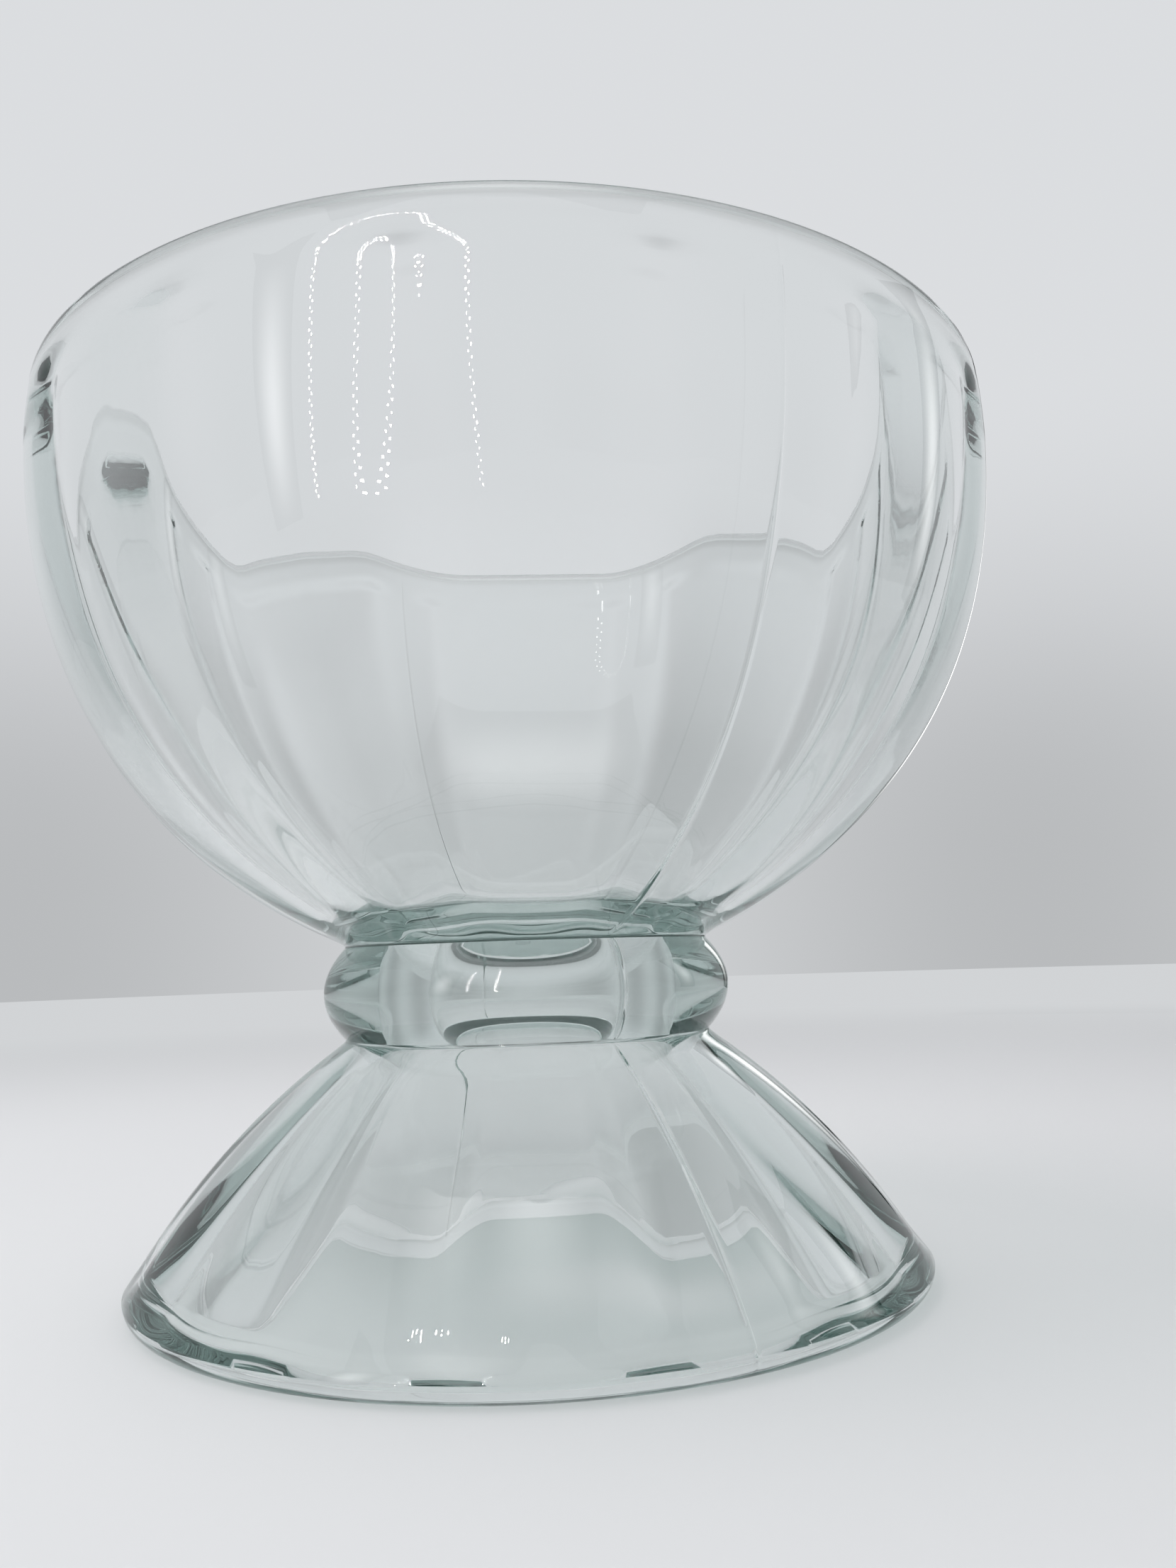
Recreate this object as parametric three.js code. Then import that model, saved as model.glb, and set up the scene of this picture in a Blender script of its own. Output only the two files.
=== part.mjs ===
// A footed dessert bowl of clear pressed glass.
// A round lobed bowl and a hollow lobed foot meet at a beaded ring round the neck.
// Millimetres, +Z up. The foot stands on Z = 0 and the axis of the bowl is the Z axis.

import * as THREE from 'three';

// Overall sizes
const HEIGHT = 90;
const RIM_DIAMETER = 101.6;
const FOOT_DIAMETER = 80.6;
const FOOT_HEIGHT = 24.6;

// Bowl
const RIM_BAND = 6.4;           // upright part of the wall, from the curve to the top of the lip
const RIM_DRAW_IN = 0.3;        // how far the upright wall leans in at the lip
const BOWL_WALL = 3.8;
const LOWER_WALL = 3.8;         // wall where the bowl curves in
const BELLY = 0.85;             // how much fuller the curve is than an ellipse
const FLOOR_THICKNESS = 4.3;
const FLOOR_ROUND = 1.4;        // height of the round between the inside wall and the floor

// Beaded ring round the neck
const RING_HEIGHT = 9.4;
const RING_DIAMETER = 42.8;
const RING_BORE = 21;
const BORE_FLARE = 1.2;         // how much the bore widens on each side, down to the foot
const FLARE_RISE = 2;           // height over the foot at which the flare's two tangents meet
const BORE_DOME = 0.6;          // rise of the hollow's rounded end into the bowl's floor
const NECK_DIAMETER = 38.4;     // bottom of the two creases beside the ring
const CREASE = 0.3;             // straight part of each crease on the bowl and on the foot

// Foot
const SKIRT_BULGE = 1.65;       // rise of the outer skirt over a straight cone
const FOOT_EDGE_WALL = 5.4;
const FOOT_EDGE_RADIUS = 1.9;   // outer round of the thick edge
const HOLLOW_EDGE_RADIUS = 1.2;

// Lobes: convex panels that meet in rounded grooves, in line on the bowl and the foot
const LOBES = 16;
const LOBE_TURN = 13.2;         // degrees from the front, -Y, towards +X, to a groove
const GROOVE_SHARE = 0.4;       // part of each half lobe that the rounded groove takes up
const RIM_GROOVE_SHARE = 0.13;  // the same near the rim, where the grooves are narrower
const FOOT_GROOVE_SHARE = 0.3;
const GROOVE_WIDENING = 22;     // height over which the grooves widen under the rim band
const BOWL_GROOVE_DEPTH = 0.85; // at the widest place, and less where the lobes are narrower
const FOOT_GROOVE_DEPTH = 0.6;
const PLAIN_RIM = 3.6;          // smooth band under the top of the lip
const GROOVE_RUN_OUT = 2.4;     // length over which a groove fades into a smooth band

// Facets
const STEPS_PER_LOBE = 8;
const RING_STEPS = 48;
const BOWL_ROWS = 9;
const BAND_ROWS = 2;
const LIP_ROWS = 4;
const INSIDE_ROWS = 7;
const FLOOR_ROWS = 2;
const DOME_ROWS = 2;
const BEAD_ROWS = 6;
const BORE_ROWS = 3;
const SKIRT_ROWS = 7;
const EDGE_ROWS = 3;

const rimRadius = RIM_DIAMETER / 2;
const footRadius = FOOT_DIAMETER / 2;
const neckRadius = NECK_DIAMETER / 2;
const boreRadius = RING_BORE / 2;
const ringTop = FOOT_HEIGHT + RING_HEIGHT;
const bandBase = HEIGHT - RIM_BAND;
const lipRadius = BOWL_WALL / 2;

const point = (radius, height) => new THREE.Vector2(radius, height);

// Points of an elliptical arc about (centreRadius, centreHeight), angles in degrees from outwards
function arc(centreRadius, centreHeight, a, b, from, to, steps) {
  const rad = THREE.MathUtils.degToRad;
  const clockwise = to < from;
  const curve = new THREE.EllipseCurve(centreRadius, centreHeight, a, b, rad(from), rad(to), clockwise);
  return curve.getPoints(steps);
}

// Points of an elliptical arc in which the part between the ends is set out by the belly
function bellied(a, b, from, to, steps) {
  return arc(0, bandBase, a, b, from, to, steps).map((p, step) => {
    const out = BELLY * Math.sin((Math.PI * step) / steps) ** 2;
    return point(p.x + out, p.y);
  });
}

// Points of a quadratic curve
function bend(start, control, end, steps) {
  return new THREE.QuadraticBezierCurve(start, control, end).getPoints(steps);
}

// Points of a shallow arc from one point to another that rises to the right of its chord
function bulgedLine(start, end, bulge, steps) {
  const chord = end.clone().sub(start);
  const side = point(chord.y, -chord.x).normalize();
  const control = start.clone().lerp(end, 0.5).addScaledVector(side, 2 * bulge);
  return bend(start, control, end, steps);
}

// Depth of the groove pattern at a place counted in lobes from a groove:
// 1 in the bottom of a groove, 0 on the crest of a lobe
function grooveShape(lobes, share) {
  const fromGroove = 2 * Math.abs(lobes - Math.round(lobes));
  const edgeSlope = 2 * (1 - share);
  const bottomDepth = (1 - share) ** 2 + (edgeSlope * share) / 2;
  const depth = fromGroove > share
    ? (1 - fromGroove) ** 2
    : bottomDepth - (edgeSlope * fromGroove ** 2) / (2 * share);
  return depth / bottomDepth;
}

// A share from 0 to 1 that rises over the length of a groove's run-out
const runOut = (distance) => THREE.MathUtils.smoothstep(distance, 0, GROOVE_RUN_OUT);

const plain = { depth: 0, share: 1 };

// Revolves a profile round Z from a groove. grooveAt gives the grooves' depth and share at a profile point.
function revolve(profile, steps, grooveAt = () => plain) {
  const geometry = new THREE.LatheGeometry(profile, steps, THREE.MathUtils.degToRad(LOBE_TURN));
  const position = geometry.getAttribute('position');
  profile.forEach((p, row) => {
    const groove = grooveAt(p, row);
    if (groove.depth === 0) return;
    for (let step = 0; step <= steps; step += 1) {
      const index = step * profile.length + row;
      const cut = groove.depth * grooveShape((step / steps) * LOBES, groove.share);
      const scale = 1 - cut / p.x;
      position.setX(index, position.getX(index) * scale);
      position.setZ(index, position.getZ(index) * scale);
    }
  });
  geometry.rotateX(Math.PI / 2);
  geometry.computeVertexNormals();
  return geometry;
}

function clearGlass(colour) {
  return new THREE.MeshStandardMaterial({
    color: colour,
    roughness: 0.04,
    metalness: 0,
    transparent: true,
    opacity: 0.35,
  });
}

function piece(name, geometry, colour) {
  const mesh = new THREE.Mesh(geometry, clearGlass(colour));
  mesh.name = name;
  return mesh;
}

// Bowl: a full curve outside and inside with an even wall, a flat floor, an upright rim band and a round lip
function makeBowl() {
  const neckTop = ringTop + CREASE;
  const neckShare = neckRadius / rimRadius;
  const outerDepth = (bandBase - neckTop) / Math.sqrt(1 - neckShare ** 2);
  const neckAngle = -THREE.MathUtils.radToDeg(Math.acos(neckShare));
  const lipCentre = rimRadius - RIM_DRAW_IN - lipRadius;
  const lipBase = HEIGHT - lipRadius;
  const innerRadius = lipCentre - lipRadius;
  const innerDepth = outerDepth - LOWER_WALL;
  const floorHeight = ringTop + FLOOR_THICKNESS;
  const floorDepth = (bandBase - floorHeight) / innerDepth;
  const roundDepth = (bandBase - floorHeight - FLOOR_ROUND) / innerDepth;
  const roundAngle = -THREE.MathUtils.radToDeg(Math.asin(roundDepth));

  const dome = arc(0, ringTop, boreRadius, BORE_DOME, 90, 0, DOME_ROWS);
  dome[0].x = 0;
  const underside = [...dome, point(neckRadius, ringTop)];
  const curve = bellied(rimRadius, outerDepth, neckAngle, 0, BOWL_ROWS);
  const bandTop = point(lipCentre + lipRadius, lipBase);
  const band = bulgedLine(point(rimRadius, bandBase), bandTop, 0, BAND_ROWS).slice(1);
  const lip = arc(lipCentre, lipBase, lipRadius, lipRadius, 0, 180, LIP_ROWS).slice(1);
  const inside = bellied(innerRadius, innerDepth, 0, roundAngle, INSIDE_ROWS);
  const roundTop = inside[inside.length - 1];
  const corner = point(innerRadius * Math.sqrt(1 - floorDepth ** 2), floorHeight);
  const floorEdge = point(2 * corner.x - roundTop.x, floorHeight);
  const floor = [...bend(roundTop, corner, floorEdge, FLOOR_ROWS).slice(1), point(0, floorHeight)];

  const profile = [...underside, ...curve, ...band, ...lip, ...inside, ...floor];
  const firstGrooved = underside.length;
  const lastGrooved = underside.length + curve.length + band.length - 1;
  const grooveAt = (p, row) => {
    if (row < firstGrooved || row > lastGrooved) return plain;
    const fade = runOut(HEIGHT - PLAIN_RIM - p.y) * runOut(p.x - neckRadius);
    const lower = THREE.MathUtils.smoothstep(bandBase - p.y, 0, GROOVE_WIDENING);
    return {
      depth: BOWL_GROOVE_DEPTH * (p.x / rimRadius) * fade,
      share: THREE.MathUtils.lerp(RIM_GROOVE_SHARE, GROOVE_SHARE, lower),
    };
  };
  return piece('bowl', revolve(profile, LOBES * STEPS_PER_LOBE, grooveAt), 0xdfe6e4);
}

// Ring: a round bead outside and a bore inside that widens downwards, with flat ends
function makeNeckRing() {
  const bead = bulgedLine(
    point(neckRadius, FOOT_HEIGHT),
    point(neckRadius, ringTop),
    (RING_DIAMETER - NECK_DIAMETER) / 2,
    BEAD_ROWS,
  );
  const flare = bend(
    point(boreRadius, FOOT_HEIGHT + RING_HEIGHT / 2),
    point(boreRadius, FOOT_HEIGHT + FLARE_RISE),
    point(boreRadius + BORE_FLARE, FOOT_HEIGHT),
    BORE_ROWS,
  );
  const profile = [...bead, point(boreRadius, ringTop), ...flare, bead[0].clone()];
  return piece('neck_ring', revolve(profile, RING_STEPS), 0xd3dcd9);
}

// Foot: a skirt that bulges slightly, a thick rounded edge and a conical hollow that opens into the bore
function makeFoot() {
  const crownBase = FOOT_HEIGHT - CREASE;
  const edgeCentre = footRadius - FOOT_EDGE_RADIUS;
  const hollowRadius = footRadius - FOOT_EDGE_WALL;
  const hollowTop = point(boreRadius + BORE_FLARE, FOOT_HEIGHT);

  const edge = arc(edgeCentre, FOOT_EDGE_RADIUS, FOOT_EDGE_RADIUS, FOOT_EDGE_RADIUS, -90, 0, EDGE_ROWS);
  const skirt = bulgedLine(
    point(footRadius, FOOT_EDGE_RADIUS),
    point(neckRadius, crownBase),
    SKIRT_BULGE,
    SKIRT_ROWS,
  ).slice(1);
  const crown = point(neckRadius, FOOT_HEIGHT);
  const innerEdge = arc(
    hollowRadius + HOLLOW_EDGE_RADIUS,
    HOLLOW_EDGE_RADIUS,
    HOLLOW_EDGE_RADIUS,
    HOLLOW_EDGE_RADIUS,
    180,
    270,
    EDGE_ROWS,
  );

  const profile = [...edge, ...skirt, crown, hollowTop, ...innerEdge, edge[0].clone()];
  const firstGrooved = edge.length;
  const lastGrooved = edge.length + skirt.length - 1;
  const grooveAt = (p, row) => {
    if (row < firstGrooved || row > lastGrooved) return plain;
    const fade = runOut(p.y - FOOT_EDGE_RADIUS) * runOut(crownBase - p.y);
    return { depth: FOOT_GROOVE_DEPTH * (p.x / footRadius) * fade, share: FOOT_GROOVE_SHARE };
  };
  return piece('foot', revolve(profile, LOBES * STEPS_PER_LOBE, grooveAt), 0xd8e1de);
}

const dessertBowl = new THREE.Group();
dessertBowl.add(makeBowl(), makeNeckRing(), makeFoot());

export default dessertBowl;
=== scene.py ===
"""A footed dessert bowl of clear pressed glass, built round its CAD solids, on a plain pale stage.

The glass is modelled as its three forms: the lobed bowl, the beaded ring at the neck and the lobed foot.
Each is drawn as half a section and spun round the upright axis. Its grooves and mould seam are pressed in
last.
"""

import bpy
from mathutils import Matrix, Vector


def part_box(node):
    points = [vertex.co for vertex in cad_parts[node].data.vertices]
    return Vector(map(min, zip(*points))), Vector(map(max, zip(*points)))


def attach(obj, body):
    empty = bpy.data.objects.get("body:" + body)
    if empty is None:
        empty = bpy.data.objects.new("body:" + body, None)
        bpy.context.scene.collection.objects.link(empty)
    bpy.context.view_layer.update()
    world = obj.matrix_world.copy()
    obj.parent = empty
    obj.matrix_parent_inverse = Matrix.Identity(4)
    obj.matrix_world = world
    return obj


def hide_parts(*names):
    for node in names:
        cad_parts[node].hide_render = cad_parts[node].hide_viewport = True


bl_info = {
    "name": "Footed Dessert Bowl",
    "version": (1, 0, 0),
    "blender": (4, 5, 0),
    "location": "3D View > Sidebar > Dessert Bowl",
    "description": "Builds a footed dessert bowl of clear pressed glass and a pale stage for it",
    "category": "Add Mesh",
}

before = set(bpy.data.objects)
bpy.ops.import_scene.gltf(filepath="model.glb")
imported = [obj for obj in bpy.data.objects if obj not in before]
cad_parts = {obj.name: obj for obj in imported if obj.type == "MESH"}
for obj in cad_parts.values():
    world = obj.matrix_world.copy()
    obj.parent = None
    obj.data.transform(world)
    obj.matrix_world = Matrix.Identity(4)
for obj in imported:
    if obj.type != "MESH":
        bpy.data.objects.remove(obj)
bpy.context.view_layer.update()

import math

import bpy
from mathutils import Matrix, Vector

PHOTO_HEIGHT = 2212

MM = 0.001
BOWL_LOW, BOWL_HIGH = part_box("bowl")
RING_LOW, RING_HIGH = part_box("neck_ring")
FOOT_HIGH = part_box("foot")[1]

# Places of the columns of faces across half a lobe, as shares of the lobe from its groove to its crest.
# They are close together in the groove and at the crest, where the mould seam runs.
HALF_LOBE = (0, 0.02, 0.045, 0.075, 0.11, 0.15, 0.2, 0.25, 0.3, 0.35, 0.4, 0.44, 0.47, 0.487, 0.4955, 0.5)
SAME_PLACE = 0.001 * MM
SMOOTH_ANGLE = math.radians(40)

# Gaps that keep two faces out of one plane, at the welds and under the foot.
WELD_GAP = 0.01 * MM
FLOOR_GAP = 0.05 * MM
FLAT_FACING = 0.99

# Small forms of the sections, and the height over which the bowl's grooves widen.
CREASE_HEIGHT = 0.3 * MM
CREASE_STRAIGHT = 0.15 * MM
BAND_BULGE = 0.05 * MM
GROOVE_WIDENING = 22 * MM

# Where the mould seam ends, and the lengths over which it runs out.
SEAM_FACING = 0.05
LIP_SEAM_END = 2 * MM
LIP_SEAM_FADE = 4 * MM
CREASE_SEAM_FADE = MM
RING_SEAM_FADE = 0.6 * MM
EDGE_SEAM_END = 0.5 * MM
EDGE_SEAM_FADE = 2 * MM

# Numbers of steps in which the stretches of the sections are drawn.
DOME_STEPS = 12
OUTSIDE_STEPS = 60
CREASE_STEPS = 6
BAND_STEPS = 8
LIP_STEPS = 14
INSIDE_STEPS = 36
FLOOR_ROUND_STEPS = 10
STRAIGHT_STEPS = 4
BEAD_STEPS = 28
BORE_STEPS = 10
SKIRT_STEPS = 40
EDGE_STEPS = 10
HOLLOW_EDGE_STEPS = 8

# The soft lamp over the glass, and the point that the lamp and the panels face.
LAMP_TARGET = Vector((0, 0, 0.04))
LAMP_PLACE = Vector((-0.2, -0.1, 0.6))
LAMP_SIZE = 0.35
LAMP_POWER = 2.6

# The panels that the glass mirrors: name, place, width, height and strength.
PANELS = (
    ("top_panel", (-0.02, -0.22, 0.6), 0.6, 0.5, 3),
    ("left_panel", (-0.25, -0.24, 0.13), 0.09, 0.3, 4),
    ("right_panel", (0.4, 0.05, 0.15), 0.1, 0.34, 3),
    ("back_panel", (0.22, 0.39, 0.15), 0.1, 0.34, 3),
)
PANEL_EDGE = 0.5

FLOOR_CORNERS = 96
FLOOR_ROUGHNESS = 0.9
FLOOR_GLOSS = 0.1
LIGHT_BOUNCES = 32
SENSOR_SIZE = 36
NEAREST_VIEW = 5 * MM


class GlassSizes(bpy.types.PropertyGroup):
    """Sizes of the glass that a maker would change."""

    lobes: bpy.props.IntProperty(
        name="Lobes", description="Number of lobes round the bowl and the foot", default=16, min=3
    )
    lobe_turn: bpy.props.FloatProperty(
        name="Lobe Turn", description="Angle from the front to the nearest groove on the right",
        default=math.radians(13.2), subtype="ANGLE",
    )
    groove_share: bpy.props.FloatProperty(
        name="Groove Share", description="Part of each half lobe that the rounded groove takes up",
        default=0.4, min=0.05, max=0.95, subtype="FACTOR",
    )
    rim_groove_share: bpy.props.FloatProperty(
        name="Rim Groove Share", description="Part of each half lobe that the groove takes up near the rim",
        default=0.13, min=0.05, max=0.95, subtype="FACTOR",
    )
    foot_groove_share: bpy.props.FloatProperty(
        name="Foot Groove Share", description="Part of each half lobe that the groove takes up on the foot",
        default=0.3, min=0.05, max=0.95, subtype="FACTOR",
    )
    bowl_groove: bpy.props.FloatProperty(
        name="Bowl Groove", description="Depth of the bowl's grooves at its widest place",
        default=0.85 * MM, unit="LENGTH", precision=4,
    )
    foot_groove: bpy.props.FloatProperty(
        name="Foot Groove", description="Depth of the foot's grooves at its widest place",
        default=0.6 * MM, unit="LENGTH", precision=4,
    )
    plain_rim: bpy.props.FloatProperty(
        name="Plain Rim", description="Height of the smooth band under the lip",
        default=3.6 * MM, unit="LENGTH", precision=4,
    )
    groove_fade: bpy.props.FloatProperty(
        name="Groove Fade", description="Length over which a groove runs out into a smooth band",
        default=2.4 * MM, unit="LENGTH", precision=4,
    )
    wall: bpy.props.FloatProperty(
        name="Wall", description="Thickness of the bowl's wall at the lip",
        default=3.8 * MM, unit="LENGTH", precision=4,
    )
    rim_band: bpy.props.FloatProperty(
        name="Rim Band", description="Height of the upright part of the bowl's wall",
        default=6.4 * MM, unit="LENGTH", precision=4,
    )
    rim_draw_in: bpy.props.FloatProperty(
        name="Rim Draw-in", description="How far the upright wall leans in at the lip",
        default=0.3 * MM, unit="LENGTH", precision=4,
    )
    lower_wall: bpy.props.FloatProperty(
        name="Lower Wall", description="Thickness of the bowl's wall where it curves in",
        default=3.8 * MM, unit="LENGTH", precision=4,
    )
    belly: bpy.props.FloatProperty(
        name="Belly", description="How much fuller the bowl's curve is than an ellipse",
        default=0.85 * MM, unit="LENGTH", precision=4,
    )
    floor_round: bpy.props.FloatProperty(
        name="Floor Round", description="Height of the round between the inside wall and the floor",
        default=1.4 * MM, unit="LENGTH", precision=4,
    )
    floor_thickness: bpy.props.FloatProperty(
        name="Floor Thickness", description="Thickness of the bowl's floor over the ring",
        default=4.3 * MM, unit="LENGTH", precision=4,
    )
    neck_radius: bpy.props.FloatProperty(
        name="Neck Radius", description="Radius in the bottom of the two creases beside the ring",
        default=19.2 * MM, unit="LENGTH", precision=4,
    )
    crease_round: bpy.props.FloatProperty(
        name="Crease Round", description="Size of the small rounds in the two creases",
        default=0.7 * MM, unit="LENGTH", precision=4,
    )
    bore_radius: bpy.props.FloatProperty(
        name="Bore Radius", description="Radius of the hollow through the ring",
        default=10.5 * MM, unit="LENGTH", precision=4,
    )
    bore_dome: bpy.props.FloatProperty(
        name="Bore Dome", description="Rise of the rounded end of the hollow into the bowl's floor",
        default=0.6 * MM, unit="LENGTH", precision=4,
    )
    bore_flare: bpy.props.FloatProperty(
        name="Bore Flare", description="How much wider the hollow is at the foot's top than in the ring",
        default=1.2 * MM, unit="LENGTH", precision=4,
    )
    flare_rise: bpy.props.FloatProperty(
        name="Flare Rise", description="Height over the foot at which the bore's flare turns",
        default=2 * MM, unit="LENGTH", precision=4,
    )
    skirt_bulge: bpy.props.FloatProperty(
        name="Skirt Bulge", description="Rise of the foot's skirt over a straight cone",
        default=1.65 * MM, unit="LENGTH", precision=4,
    )
    edge_wall: bpy.props.FloatProperty(
        name="Foot Edge Wall", description="Thickness of the foot's edge where it stands",
        default=5.4 * MM, unit="LENGTH", precision=4,
    )
    edge_round: bpy.props.FloatProperty(
        name="Foot Edge Round", description="Radius of the outer round of the foot's edge",
        default=1.9 * MM, unit="LENGTH", precision=4,
    )
    hollow_round: bpy.props.FloatProperty(
        name="Hollow Edge Round", description="Radius of the inner round of the foot's edge",
        default=1.2 * MM, unit="LENGTH", precision=4,
    )
    seam_height: bpy.props.FloatProperty(
        name="Seam Height", description="Height of the fine raised line that the mould leaves",
        default=0.12 * MM, unit="LENGTH", precision=5,
    )
    seam_width: bpy.props.FloatProperty(
        name="Seam Width", description="Half width of the mould's raised line",
        default=0.28 * MM, unit="LENGTH", precision=5,
    )


class GlassFinish(bpy.types.PropertyGroup):
    """Colour and clearness of the glass."""

    tint: bpy.props.FloatVectorProperty(
        name="Tint", description="Colour that thick glass tends to",
        default=(0.61, 0.705, 0.685), size=3, min=0, max=1, subtype="COLOR",
    )
    density: bpy.props.FloatProperty(
        name="Tint Density", description="How fast the glass takes up its tint, per metre",
        default=42, min=0,
    )
    shadow: bpy.props.FloatVectorProperty(
        name="Shadow", description="Share of the lamps' light that passes each face of the glass",
        default=(0.95, 0.96, 0.957), size=3, min=0, max=1, subtype="COLOR",
    )
    ior: bpy.props.FloatProperty(
        name="Refraction", description="Refractive index of soda-lime glass", default=1.51, min=1, max=2
    )


class StageLook(bpy.types.PropertyGroup):
    """Floor, light and camera round the glass."""

    backdrop: bpy.props.FloatVectorProperty(
        name="Backdrop", description="Colour of the pale surroundings",
        default=(0.71, 0.725, 0.745), size=3, min=0, max=1, subtype="COLOR",
    )
    horizon: bpy.props.FloatVectorProperty(
        name="Horizon", description="Colour of the surroundings near the horizon",
        default=(0.64, 0.655, 0.67), size=3, min=0, max=1, subtype="COLOR",
    )
    haze_low: bpy.props.FloatProperty(
        name="Haze Low", description="Angle over the horizon up to which its colour holds",
        default=math.radians(3), subtype="ANGLE",
    )
    haze_high: bpy.props.FloatProperty(
        name="Haze High", description="Angle over the horizon at which the backdrop's colour is reached",
        default=math.radians(16), subtype="ANGLE",
    )
    ceiling: bpy.props.FloatVectorProperty(
        name="Ceiling", description="Colour of the surroundings overhead",
        default=(0.22, 0.225, 0.23), size=3, min=0, max=1, subtype="COLOR",
    )
    top_low: bpy.props.FloatProperty(
        name="Ceiling Low", description="Angle over the horizon at which the ceiling's tone starts",
        default=math.radians(40), subtype="ANGLE",
    )
    top_high: bpy.props.FloatProperty(
        name="Ceiling High", description="Angle over the horizon at which the ceiling's tone is reached",
        default=math.radians(62), subtype="ANGLE",
    )
    pools: bpy.props.IntProperty(
        name="Pools", description="Number of soft pools of light round the backdrop", default=8, min=1
    )
    pool_fall: bpy.props.FloatProperty(
        name="Pool Fall", description="Share by which the backdrop is darker between two pools",
        default=0.24, min=0, max=1, subtype="FACTOR",
    )
    pool_low: bpy.props.FloatProperty(
        name="Pool Low", description="Angle over the horizon up to which the pools hold",
        default=math.radians(7), subtype="ANGLE",
    )
    pool_high: bpy.props.FloatProperty(
        name="Pool High", description="Angle over the horizon at which the pools have run together",
        default=math.radians(24), subtype="ANGLE",
    )
    floor: bpy.props.FloatVectorProperty(
        name="Floor", description="Colour of the pale floor",
        default=(0.8, 0.8, 0.81), size=3, min=0, max=1, subtype="COLOR",
    )
    floor_near: bpy.props.FloatProperty(
        name="Floor Near", description="Distance from the glass up to which the floor shows plain",
        default=0.15, unit="LENGTH",
    )
    floor_far: bpy.props.FloatProperty(
        name="Floor Far", description="Distance from the glass at which the floor has the horizon's tone",
        default=0.6, unit="LENGTH",
    )
    floor_radius: bpy.props.FloatProperty(
        name="Floor Radius", description="Radius of the round floor", default=1.6, unit="LENGTH"
    )
    bead_place: bpy.props.FloatVectorProperty(
        name="Bead Lamp Place", description="Place of the foot of the arch of bright beads",
        default=(-0.096, -0.215, 0.038), size=3, subtype="TRANSLATION", unit="LENGTH", precision=4,
    )
    bead_arch: bpy.props.FloatProperty(
        name="Bead Lamp Radius", description="Radius of the arch of bright beads",
        default=34 * MM, unit="LENGTH", precision=4,
    )
    bead_leg: bpy.props.FloatProperty(
        name="Bead Lamp Leg", description="Height of the upright legs of the arch of bright beads",
        default=165 * MM, unit="LENGTH", precision=4,
    )
    bead_spacing: bpy.props.FloatProperty(
        name="Bead Spacing", description="Distance from one bright bead to the next",
        default=4 * MM, unit="LENGTH", precision=4,
    )
    bead_size: bpy.props.FloatProperty(
        name="Bead Size", description="Size of each bright bead",
        default=1.6 * MM, unit="LENGTH", precision=4,
    )
    bead_strength: bpy.props.FloatProperty(
        name="Bead Strength", description="Brightness of the beads, which only the glass mirrors",
        default=150, min=0,
    )
    camera_distance: bpy.props.FloatProperty(
        name="Camera Distance", description="Distance from the axis of the bowl to the camera",
        default=134.9 * MM, unit="LENGTH", precision=4,
    )
    camera_height: bpy.props.FloatProperty(
        name="Camera Height", description="Height of the camera over the floor",
        default=32.3 * MM, unit="LENGTH", precision=4,
    )
    camera_yaw: bpy.props.FloatProperty(
        name="Camera Yaw", description="Turn of the camera to the right of the axis",
        default=math.radians(3.054), subtype="ANGLE",
    )
    camera_pitch: bpy.props.FloatProperty(
        name="Camera Pitch", description="Tilt of the camera upwards",
        default=math.radians(7.922), subtype="ANGLE",
    )
    camera_roll: bpy.props.FloatProperty(
        name="Camera Roll", description="Roll of the camera about its view",
        default=math.radians(-1.897), subtype="ANGLE",
    )
    focal_pixels: bpy.props.FloatProperty(
        name="Focal Length", description="Focal length in pixels of the full picture", default=1750
    )


def arc(centre, radii, start, end, steps):
    """Points of an elliptical arc of a section, with angles in degrees from outwards."""
    points = []
    for step in range(steps + 1):
        angle = math.radians(start + (end - start) * step / steps)
        points.append((centre[0] + radii[0] * math.cos(angle), centre[1] + radii[1] * math.sin(angle)))
    return points


def bellied(points, belly):
    """Sets the middle of a line of points outwards by the belly."""
    last = len(points) - 1
    return [
        (across + belly * math.sin(math.pi * index / last) ** 2, height)
        for index, (across, height) in enumerate(points)
    ]


def curve(start, control, end, steps):
    """Points of a quadratic curve of a section."""
    points = []
    for step in range(steps + 1):
        t = step / steps
        points.append(tuple(
            (1 - t) ** 2 * a + 2 * t * (1 - t) * b + t ** 2 * c for a, b, c in zip(start, control, end)
        ))
    return points


def bulged_line(start, end, bulge, steps):
    """Points of a shallow curve that rises to the right of its chord."""
    across, up = end[0] - start[0], end[1] - start[1]
    length = math.hypot(across, up)
    control = (
        (start[0] + end[0]) / 2 + 2 * bulge * up / length,
        (start[1] + end[1]) / 2 - 2 * bulge * across / length,
    )
    return curve(start, control, end, steps)


def smooth_step(value):
    """A share that rises smoothly from 0 to 1."""
    value = min(max(value, 0.0), 1.0)
    return value * value * (3 - 2 * value)


def draw_section(name, points, turn):
    """Draws half a section as a chain of edges, upright over the floor at an angle from the front."""
    bpy.ops.object.select_all(action="DESELECT")
    bpy.ops.mesh.primitive_plane_add(size=MM, location=(0, 0, 0))
    piece = bpy.context.object
    piece.name = name
    piece.data.name = name
    bpy.ops.object.mode_set(mode="EDIT")
    bpy.ops.mesh.select_all(action="SELECT")
    bpy.ops.mesh.merge(type="CENTER")
    outwards = Vector((math.sin(turn), -math.cos(turn), 0))
    places = [outwards * radius + Vector((0, 0, height)) for radius, height in points]
    bpy.ops.transform.translate(value=places[0])
    for here, there in zip(places, places[1:]):
        bpy.ops.mesh.extrude_vertices_move(TRANSFORM_OT_translate={"value": there - here})
    return piece


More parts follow.
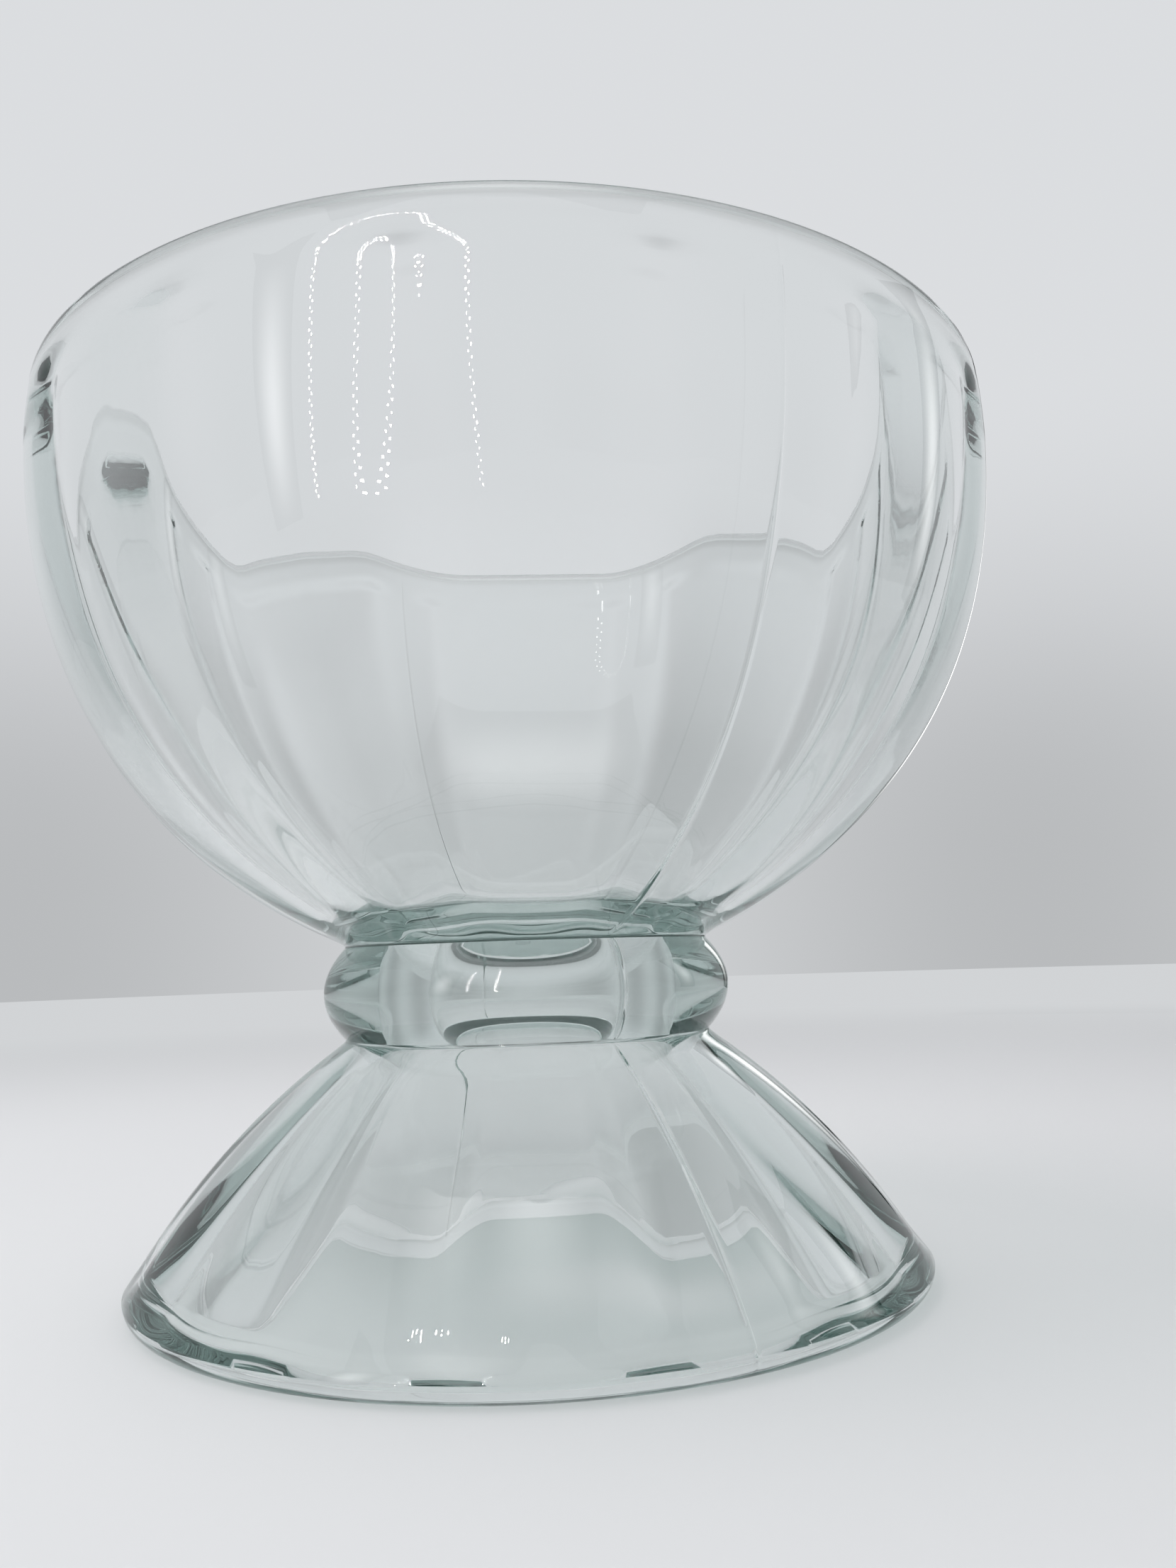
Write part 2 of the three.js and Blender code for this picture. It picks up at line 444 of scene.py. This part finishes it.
def spin_lobes(lobes):
    """Spins the drawn section over one lobe, column by column, and repeats the lobe round the axis."""
    columns = list(HALF_LOBE) + [1 - share for share in reversed(HALF_LOBE[:-1])]
    lobe_angle = 2 * math.pi / lobes
    bpy.ops.mesh.select_all(action="SELECT")
    for here, there in zip(columns, columns[1:]):
        bpy.ops.mesh.spin(steps=1, angle=lobe_angle * (there - here), center=(0, 0, 0), axis=(0, 0, 1))
    bpy.ops.mesh.select_all(action="SELECT")
    bpy.ops.mesh.spin(
        steps=lobes - 1, dupli=True, angle=lobe_angle * (lobes - 1), center=(0, 0, 0), axis=(0, 0, 1)
    )
    bpy.ops.mesh.select_all(action="SELECT")
    bpy.ops.mesh.remove_doubles(threshold=SAME_PLACE)
    bpy.ops.mesh.normals_make_consistent(inside=False)
    bpy.ops.object.mode_set(mode="OBJECT")


def press(piece, name, depth, weight_of):
    """Moves the surface outwards by a depth times the weight of each point."""
    group = piece.vertex_groups.new(name=name)
    for vertex in piece.data.vertices:
        weight = weight_of(vertex)
        if weight > 0:
            group.add([vertex.index], weight, "REPLACE")
    bpy.ops.object.modifier_add(type="DISPLACE")
    modifier = piece.modifiers[-1]
    modifier.vertex_group = name
    modifier.mid_level = 0
    modifier.strength = depth
    bpy.ops.object.modifier_apply(modifier=modifier.name)
    bpy.ops.object.vertex_group_remove(all=True)


def lobe_place(vertex, sizes):
    """Where a point lies round the axis, counted in lobes from a groove."""
    turn = math.atan2(vertex.co.x, -vertex.co.y)
    return (turn - sizes.lobe_turn) * sizes.lobes / (2 * math.pi)


def groove_shape(lobes, share):
    """Depth of the groove pattern: 1 in the bottom of a groove and 0 on the crest of a lobe."""
    from_groove = 2 * abs(lobes - round(lobes))
    slope = 2 * (1 - share)
    bottom = (1 - share) ** 2 + slope * share / 2
    if from_groove > share:
        return (1 - from_groove) ** 2 / bottom
    return 1 - slope * from_groove ** 2 / (2 * share * bottom)


def outward_share(vertex):
    """How far a point's normal leans outwards from the axis, from -1 to 1."""
    outwards = Vector((vertex.co.x, vertex.co.y, 0))
    return vertex.normal.dot(outwards.normalized())


def press_grooves(piece, sizes, depth, widest, fade, share_at):
    """Presses the grooves between the lobes into the outside of a piece."""

    def weight_of(vertex):
        radius = math.hypot(vertex.co.x, vertex.co.y)
        facing = outward_share(vertex)
        if facing <= 0:
            return 0
        shape = groove_shape(lobe_place(vertex, sizes), share_at(vertex.co.z))
        return facing * shape * (radius / widest) * fade(radius, vertex.co.z)

    press(piece, "grooves", -depth, weight_of)


def press_seam(piece, sizes, fade):
    """Raises the mould's fine seam on the crest of two opposite lobes."""
    crest = HALF_LOBE[-1]
    seams = (crest, crest + sizes.lobes / 2)

    def weight_of(vertex):
        radius = math.hypot(vertex.co.x, vertex.co.y)
        if outward_share(vertex) <= SEAM_FACING:
            return 0
        place = lobe_place(vertex, sizes) % sizes.lobes
        away = min(abs(place - seam) for seam in seams) * 2 * math.pi * radius / sizes.lobes
        return smooth_step(1 - away / sizes.seam_width) * fade(radius, vertex.co.z)

    press(piece, "seam", sizes.seam_height, weight_of)


def finish_glass(piece, weld_heights, sizes, node):
    """Marks the welded faces, smooths the piece, and sets it in the frame in place of its CAD node."""
    marks = piece.data.attributes.new("open_face", "FLOAT", "FACE")
    for face in piece.data.polygons:
        at_weld = any(abs(face.center.z - height) < 2 * WELD_GAP for height in weld_heights)
        radius = math.hypot(face.center.x, face.center.y)
        between = sizes.bore_radius < radius < sizes.neck_radius
        flat = abs(face.normal.z) > FLAT_FACING
        marks.data[face.index].value = 0.0 if at_weld and between and flat else 1.0
    bpy.ops.object.shade_smooth_by_angle(angle=SMOOTH_ANGLE)
    piece.data.materials.append(clear_glass())
    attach(piece, "root")
    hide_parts(node)


def clear_glass():
    """Clear pressed glass that is faintly green where it is thick. The welded faces don't show."""
    finish = bpy.context.scene.glass_finish
    material = bpy.data.materials.get("clear_pressed_glass")
    if material:
        return material
    material = bpy.data.materials.new("clear_pressed_glass")
    material.use_nodes = True
    nodes = material.node_tree.nodes
    links = material.node_tree.links
    glass = nodes["Principled BSDF"]
    glass.inputs["Base Color"].default_value = (1, 1, 1, 1)
    glass.inputs["Transmission Weight"].default_value = 1
    glass.inputs["Roughness"].default_value = 0
    glass.inputs["IOR"].default_value = finish.ior
    open_face = nodes.new("ShaderNodeAttribute")
    open_face.attribute_name = "open_face"
    links.new(open_face.outputs["Fac"], glass.inputs["Alpha"])
    path = nodes.new("ShaderNodeLightPath")
    lamp_side = nodes.new("ShaderNodeBsdfTransparent")
    lamp_side.inputs["Color"].default_value = (*finish.shadow, 1)
    mix = nodes.new("ShaderNodeMixShader")
    links.new(path.outputs["Is Shadow Ray"], mix.inputs["Fac"])
    links.new(glass.outputs["BSDF"], mix.inputs[1])
    links.new(lamp_side.outputs["BSDF"], mix.inputs[2])
    links.new(mix.outputs["Shader"], nodes["Material Output"].inputs["Surface"])
    depth = nodes.new("ShaderNodeVolumeAbsorption")
    depth.inputs["Color"].default_value = (*finish.tint, 1)
    depth.inputs["Density"].default_value = finish.density
    links.new(depth.outputs["Volume"], nodes["Material Output"].inputs["Volume"])
    return material


class DESSERT_OT_bowl(bpy.types.Operator):
    """Builds the lobed bowl with its upright rim, round lip and thick floor"""

    bl_idname = "dessert.bowl"
    bl_label = "Bowl"

    def execute(self, context):
        sizes = context.scene.glass_sizes
        rim = BOWL_HIGH.x
        top = BOWL_HIGH.z
        ring_top = BOWL_LOW.z
        weld = ring_top + WELD_GAP
        band_base = top - sizes.rim_band
        lip = sizes.wall / 2
        lip_centre = (rim - sizes.rim_draw_in - lip, top - lip)
        inner = lip_centre[0] - lip
        floor_height = ring_top + sizes.floor_thickness
        crease_top = ring_top + CREASE_HEIGHT
        outer_depth = (band_base - crease_top) / math.sqrt(1 - (sizes.neck_radius / rim) ** 2)
        neck_angle = -math.degrees(math.acos(sizes.neck_radius / rim))

        hollow_end = arc((0, weld), (sizes.bore_radius, sizes.bore_dome), 90, 0, DOME_STEPS)
        hollow_end[0] = (0, weld + sizes.bore_dome)
        outside = bellied(arc((0, band_base), (rim, outer_depth), neck_angle, 0, OUTSIDE_STEPS), sizes.belly)
        outside = [p for p in outside if p[0] > sizes.neck_radius + 2 * sizes.crease_round]
        crease_start = (sizes.neck_radius, ring_top + CREASE_STRAIGHT)
        crease = curve(crease_start, (sizes.neck_radius, crease_top), outside[0], CREASE_STEPS)
        band = bulged_line(outside[-1], (lip_centre[0] + lip, lip_centre[1]), BAND_BULGE, BAND_STEPS)
        round_lip = arc(lip_centre, (lip, lip), 0, 180, LIP_STEPS)
        inside_band = bulged_line(round_lip[-1], (inner, band_base), 0, STRAIGHT_STEPS)
        inner_depth = outer_depth - sizes.lower_wall
        round_from = -math.degrees(math.asin((band_base - floor_height - sizes.floor_round) / inner_depth))
        inside = bellied(arc((0, band_base), (inner, inner_depth), 0, round_from, INSIDE_STEPS), sizes.belly)
        corner = inner * math.sqrt(1 - ((band_base - floor_height) / inner_depth) ** 2)
        floor_edge = (2 * corner - inside[-1][0], floor_height)
        inside += curve(inside[-1], (corner, floor_height), floor_edge, FLOOR_ROUND_STEPS)[1:]
        inside += bulged_line(floor_edge, (0, floor_height), 0, STRAIGHT_STEPS)[1:]
        section = [
            *hollow_end, (sizes.neck_radius, weld), *crease, *outside[1:], *band[1:],
            *round_lip[1:], *inside_band[1:], *inside[1:],
        ]
        bowl = draw_section("glass_bowl", section, sizes.lobe_turn)
        spin_lobes(sizes.lobes)

        def groove_fade(radius, height):
            under_rim = (top - sizes.plain_rim - height) / sizes.groove_fade
            over_neck = (radius - sizes.neck_radius) / sizes.groove_fade
            return smooth_step(under_rim) * smooth_step(over_neck)

        def seam_fade(radius, height):
            under_lip = (top - LIP_SEAM_END - height) / LIP_SEAM_FADE
            over_crease = (height - crease_top) / CREASE_SEAM_FADE
            return smooth_step(under_lip) * smooth_step(over_crease)

        def groove_share(height):
            lower = smooth_step((band_base - height) / GROOVE_WIDENING)
            return sizes.rim_groove_share + lower * (sizes.groove_share - sizes.rim_groove_share)

        press_grooves(bowl, sizes, sizes.bowl_groove, rim, groove_fade, groove_share)
        press_seam(bowl, sizes, seam_fade)
        finish_glass(bowl, [weld], sizes, "bowl")
        return {"FINISHED"}


class DESSERT_OT_neck_ring(bpy.types.Operator):
    """Builds the beaded ring between the bowl and the foot"""

    bl_idname = "dessert.neck_ring"
    bl_label = "Neck Ring"

    def execute(self, context):
        sizes = context.scene.glass_sizes
        low = RING_LOW.z + WELD_GAP
        high = RING_HIGH.z - WELD_GAP
        neck = sizes.neck_radius
        bead = bulged_line((neck, low), (neck, high), RING_HIGH.x - neck, BEAD_STEPS)
        middle = (low + high) / 2
        bore = [(sizes.bore_radius, high)]
        bore += curve((sizes.bore_radius, middle), (sizes.bore_radius, low + sizes.flare_rise),
                      (sizes.bore_radius + sizes.bore_flare, low), BORE_STEPS)
        ring = draw_section("glass_neck_ring", [*bead, *bore, bead[0]], sizes.lobe_turn)
        spin_lobes(sizes.lobes)

        def seam_fade(radius, height):
            return smooth_step(min(height - low, high - height) / RING_SEAM_FADE)

        press_seam(ring, sizes, seam_fade)
        finish_glass(ring, [low, high], sizes, "neck_ring")
        return {"FINISHED"}


class DESSERT_OT_foot(bpy.types.Operator):
    """Builds the hollow lobed foot with its thick rounded edge"""

    bl_idname = "dessert.foot"
    bl_label = "Foot"

    def execute(self, context):
        sizes = context.scene.glass_sizes
        radius = FOOT_HIGH.x
        top = FOOT_HIGH.z
        weld = top - WELD_GAP
        edge = sizes.edge_round
        hollow = radius - sizes.edge_wall
        crown = top - CREASE_HEIGHT

        outer_edge = arc((radius - edge, edge), (edge, edge), -90, 0, EDGE_STEPS)
        skirt = bulged_line((radius, edge), (sizes.neck_radius, crown), sizes.skirt_bulge, SKIRT_STEPS)
        skirt = [p for p in skirt if p[0] > sizes.neck_radius + 2 * sizes.crease_round]
        crease_end = (sizes.neck_radius, top - CREASE_STRAIGHT)
        crease = curve(skirt[-1], (sizes.neck_radius, crown), crease_end, CREASE_STEPS)
        bore_end = (sizes.bore_radius + sizes.bore_flare, weld)
        inside = bulged_line(bore_end, (hollow, sizes.hollow_round), 0, INSIDE_STEPS)
        inner_centre = (hollow + sizes.hollow_round, sizes.hollow_round)
        inner_edge = arc(inner_centre, (sizes.hollow_round,) * 2, 180, 270, HOLLOW_EDGE_STEPS)
        section = [
            *outer_edge, *skirt[1:], *crease[1:], (sizes.neck_radius, weld), *inside,
            *inner_edge[1:], outer_edge[0],
        ]
        foot = draw_section("glass_foot", section, sizes.lobe_turn)
        spin_lobes(sizes.lobes)

        def groove_fade(at_radius, height):
            over_edge = (height - edge) / sizes.groove_fade
            under_crown = (crown - height) / sizes.groove_fade
            return smooth_step(over_edge) * smooth_step(under_crown)

        def seam_fade(at_radius, height):
            over_edge = (height - EDGE_SEAM_END) / EDGE_SEAM_FADE
            under_crown = (crown - height) / CREASE_SEAM_FADE
            return smooth_step(over_edge) * smooth_step(under_crown)

        def groove_share(height):
            return sizes.foot_groove_share

        press_grooves(foot, sizes, sizes.foot_groove, radius, groove_fade, groove_share)
        press_seam(foot, sizes, seam_fade)
        finish_glass(foot, [weld], sizes, "foot")
        return {"FINISHED"}


def make_floor(look):
    """A round pale floor that runs into the horizon's tone far from the glass."""
    bpy.ops.object.select_all(action="DESELECT")
    bpy.ops.mesh.primitive_circle_add(
        vertices=FLOOR_CORNERS, radius=look.floor_radius, fill_type="NGON", location=(0, 0, -FLOOR_GAP)
    )
    floor = bpy.context.object
    floor.name = "floor"
    material = bpy.data.materials.new("pale_floor")
    material.use_nodes = True
    nodes = material.node_tree.nodes
    links = material.node_tree.links
    paint = nodes["Principled BSDF"]
    paint.inputs["Base Color"].default_value = (*look.floor, 1)
    paint.inputs["Roughness"].default_value = FLOOR_ROUGHNESS
    paint.inputs["Specular IOR Level"].default_value = FLOOR_GLOSS
    far = nodes.new("ShaderNodeEmission")
    far.inputs["Color"].default_value = (*look.horizon, 1)
    place = nodes.new("ShaderNodeTexCoord")
    distance = nodes.new("ShaderNodeVectorMath")
    distance.operation = "LENGTH"
    share = nodes.new("ShaderNodeMapRange")
    share.interpolation_type = "SMOOTHSTEP"
    share.inputs["From Min"].default_value = look.floor_near
    share.inputs["From Max"].default_value = look.floor_far
    mix = nodes.new("ShaderNodeMixShader")
    links.new(place.outputs["Object"], distance.inputs[0])
    links.new(distance.outputs["Value"], share.inputs["Value"])
    links.new(share.outputs["Result"], mix.inputs["Fac"])
    links.new(paint.outputs["BSDF"], mix.inputs[1])
    links.new(far.outputs["Emission"], mix.inputs[2])
    links.new(mix.outputs["Shader"], nodes["Material Output"].inputs["Surface"])
    floor.data.materials.append(material)


def make_surroundings(look):
    """Pale surroundings, a little darker at the horizon, between soft pools of light there, and overhead."""
    world = bpy.data.worlds.new("pale_surroundings")
    bpy.context.scene.world = world
    world.use_nodes = True
    nodes = world.node_tree.nodes
    links = world.node_tree.links

    def math_node(operation, first, second=0.0):
        node = nodes.new("ShaderNodeMath")
        node.operation = operation
        for socket, value in zip(node.inputs, (first, second)):
            if isinstance(value, bpy.types.NodeSocket):
                links.new(value, socket)
            else:
                socket.default_value = value
        return node.outputs["Value"]

    def ramp(height, low, high):
        node = nodes.new("ShaderNodeMapRange")
        node.interpolation_type = "SMOOTHSTEP"
        node.inputs["From Min"].default_value = math.sin(low)
        node.inputs["From Max"].default_value = math.sin(high)
        links.new(height, node.inputs["Value"])
        return node.outputs["Result"]

    def blend(share, first, second):
        node = nodes.new("ShaderNodeMix")
        node.data_type = "RGBA"
        links.new(share, node.inputs["Factor"])
        for name, value in (("A", first), ("B", second)):
            if isinstance(value, bpy.types.NodeSocket):
                links.new(value, node.inputs[name])
            else:
                node.inputs[name].default_value = (*value, 1)
        return node.outputs["Result"]

    direction = nodes.new("ShaderNodeTexCoord")
    split = nodes.new("ShaderNodeSeparateXYZ")
    links.new(direction.outputs["Generated"], split.inputs["Vector"])
    azimuth = math_node("ARCTAN2", split.outputs["X"], split.outputs["Y"])
    wave = math_node("COSINE", math_node("MULTIPLY", azimuth, look.pools))
    between = math_node("MULTIPLY", math_node("SUBTRACT", 1.0, wave), look.pool_fall / 2)
    height = split.outputs["Z"]
    wall = blend(ramp(height, look.haze_low, look.haze_high), look.horizon, look.backdrop)
    low_down = math_node("SUBTRACT", 1.0, ramp(height, look.pool_low, look.pool_high))
    lower = blend(math_node("MULTIPLY", between, low_down), wall, (0, 0, 0))
    sky = blend(ramp(height, look.top_low, look.top_high), lower, look.ceiling)
    links.new(sky, nodes["Background"].inputs["Color"])


def make_soft_lamp():
    """A soft square lamp over the glass, which lights the floor and isn't mirrored in the glass."""
    bpy.ops.object.light_add(type="AREA", location=LAMP_PLACE)
    lamp = bpy.context.object
    lamp.name = "soft_lamp"
    lamp.data.size = LAMP_SIZE
    lamp.data.energy = LAMP_POWER
    lamp.rotation_euler = (LAMP_TARGET - LAMP_PLACE).to_track_quat("-Z", "Y").to_euler()
    lamp.visible_camera = False
    lamp.visible_glossy = False
    lamp.visible_transmission = False


def white_glow(name, strength):
    """A plain glowing material for the lamps that the glass mirrors."""
    material = bpy.data.materials.new(name)
    material.use_nodes = True
    nodes = material.node_tree.nodes
    nodes.remove(nodes["Principled BSDF"])
    light = nodes.new("ShaderNodeEmission")
    light.inputs["Color"].default_value = (1, 1, 1, 1)
    light.inputs["Strength"].default_value = strength
    material.node_tree.links.new(light.outputs["Emission"], nodes["Material Output"].inputs["Surface"])
    return material


def make_bead_lamp(look):
    """An upright arch of two rows of small bright beads in front of the glass, left of the camera."""
    spacing = look.bead_spacing
    arch = look.bead_arch
    leg = [(-arch, step * spacing, -1, 0) for step in range(round(look.bead_leg / spacing))]
    line = list(leg)
    turns = round(math.pi * arch / spacing)
    for step in range(turns + 1):
        angle = math.pi * (1 - step / turns)
        across, up = math.cos(angle), math.sin(angle)
        line.append((arch * across, look.bead_leg + arch * up, across, up))
    line += [(arch, height, 1, 0) for side, height, across, up in reversed(leg)]
    bpy.ops.object.select_all(action="DESELECT")
    bpy.ops.mesh.primitive_plane_add(size=look.bead_size, rotation=(math.pi / 2, 0, 0))
    lamp = bpy.context.object
    lamp.name = "bead_lamp"
    bpy.ops.object.transform_apply(location=False, rotation=True, scale=False)
    bpy.ops.object.mode_set(mode="EDIT")
    bpy.ops.mesh.select_all(action="SELECT")
    here = Vector()
    for index, (side, height, across, up) in enumerate(line):
        row = spacing / 2 if index % 2 else -spacing / 2
        there = Vector(look.bead_place) + Vector((side + row * across, 0, height + row * up))
        if index == 0:
            bpy.ops.transform.translate(value=there)
        else:
            bpy.ops.mesh.duplicate_move(TRANSFORM_OT_translate={"value": there - here})
        here = there
    bpy.ops.object.mode_set(mode="OBJECT")
    lamp.data.materials.append(white_glow("bead_glow", look.bead_strength))
    lamp.visible_camera = False
    lamp.visible_diffuse = False
    lamp.visible_transmission = False


def make_panel(name, place, width, height, strength):
    """A soft-edged glowing panel that faces the glass and is mirrored in it."""
    bpy.ops.object.select_all(action="DESELECT")
    facing = (LAMP_TARGET - Vector(place)).to_track_quat("Z", "Y").to_euler()
    bpy.ops.mesh.primitive_plane_add(size=1, location=place, rotation=facing)
    panel = bpy.context.object
    panel.name = name
    panel.scale = (width, height, 1)
    material = white_glow(name + "_glow", strength)
    nodes = material.node_tree.nodes
    links = material.node_tree.links
    from_middle = nodes.new("ShaderNodeTexCoord")
    split = nodes.new("ShaderNodeSeparateXYZ")
    links.new(from_middle.outputs["Object"], split.inputs["Vector"])
    light = None
    for axis in ("X", "Y"):
        away = nodes.new("ShaderNodeMath")
        away.operation = "ABSOLUTE"
        soft = nodes.new("ShaderNodeMapRange")
        soft.interpolation_type = "SMOOTHSTEP"
        soft.inputs["From Min"].default_value = PANEL_EDGE
        soft.inputs["From Max"].default_value = 0
        links.new(split.outputs[axis], away.inputs[0])
        links.new(away.outputs["Value"], soft.inputs["Value"])
        product = nodes.new("ShaderNodeMath")
        product.operation = "MULTIPLY"
        product.inputs[0].default_value = strength
        if light:
            links.new(light, product.inputs[0])
        links.new(soft.outputs["Result"], product.inputs[1])
        light = product.outputs["Value"]
    links.new(light, nodes["Emission"].inputs["Strength"])
    panel.data.materials.append(material)
    panel.visible_camera = False
    panel.visible_diffuse = False
    panel.visible_transmission = False


def make_camera(look):
    """A camera at the photograph's viewing angle."""
    yaw, pitch, roll = look.camera_yaw, look.camera_pitch, look.camera_roll
    forward = Vector((
        math.sin(yaw) * math.cos(pitch), math.cos(yaw) * math.cos(pitch), math.sin(pitch)
    ))
    right = Vector((math.cos(yaw), -math.sin(yaw), 0))
    up = right.cross(forward)
    rolled_right = math.cos(roll) * right + math.sin(roll) * up
    rolled_up = math.cos(roll) * up - math.sin(roll) * right
    turn = Matrix((rolled_right, rolled_up, -forward)).transposed()
    place = Vector((0, -look.camera_distance, look.camera_height))
    bpy.ops.object.camera_add()
    camera = bpy.context.object
    camera.matrix_world = Matrix.Translation(place) @ turn.to_4x4()
    camera.data.sensor_width = SENSOR_SIZE
    camera.data.lens = look.focal_pixels / PHOTO_HEIGHT * SENSOR_SIZE
    camera.data.clip_start = NEAREST_VIEW
    bpy.context.scene.camera = camera


class DESSERT_OT_stage(bpy.types.Operator):
    """Builds the floor, the surroundings, the lamps and the camera"""

    bl_idname = "dessert.stage"
    bl_label = "Stage"

    def execute(self, context):
        look = context.scene.stage_look
        make_floor(look)
        make_surroundings(look)
        make_soft_lamp()
        make_bead_lamp(look)
        for panel in PANELS:
            make_panel(*panel)
        make_camera(look)
        scene = context.scene
        scene.view_settings.view_transform = "Standard"
        scene.cycles.max_bounces = LIGHT_BOUNCES
        scene.cycles.transmission_bounces = LIGHT_BOUNCES
        scene.cycles.glossy_bounces = LIGHT_BOUNCES
        scene.cycles.transparent_max_bounces = LIGHT_BOUNCES
        return {"FINISHED"}


class VIEW3D_PT_dessert_bowl(bpy.types.Panel):
    """Lists the steps and the settings of the dessert bowl"""

    bl_label = "Dessert Bowl"
    bl_space_type = "VIEW_3D"
    bl_region_type = "UI"
    bl_category = "Dessert Bowl"

    def draw(self, context):
        layout = self.layout
        for operator in OPERATORS:
            layout.operator(operator.bl_idname)
        for group in (context.scene.glass_sizes, context.scene.glass_finish, context.scene.stage_look):
            box = layout.box()
            for name in group.__annotations__:
                box.prop(group, name)


OPERATORS = (DESSERT_OT_bowl, DESSERT_OT_neck_ring, DESSERT_OT_foot, DESSERT_OT_stage)
CLASSES = (GlassSizes, GlassFinish, StageLook, *OPERATORS, VIEW3D_PT_dessert_bowl)


def register():
    for cls in CLASSES:
        bpy.utils.register_class(cls)
    bpy.types.Scene.glass_sizes = bpy.props.PointerProperty(type=GlassSizes)
    bpy.types.Scene.glass_finish = bpy.props.PointerProperty(type=GlassFinish)
    bpy.types.Scene.stage_look = bpy.props.PointerProperty(type=StageLook)


def unregister():
    del bpy.types.Scene.stage_look
    del bpy.types.Scene.glass_finish
    del bpy.types.Scene.glass_sizes
    for cls in reversed(CLASSES):
        bpy.utils.unregister_class(cls)


def main():
    register()
    bpy.ops.dessert.bowl()
    bpy.ops.dessert.neck_ring()
    bpy.ops.dessert.foot()
    bpy.ops.dessert.stage()


if __name__ == "__main__":
    main()
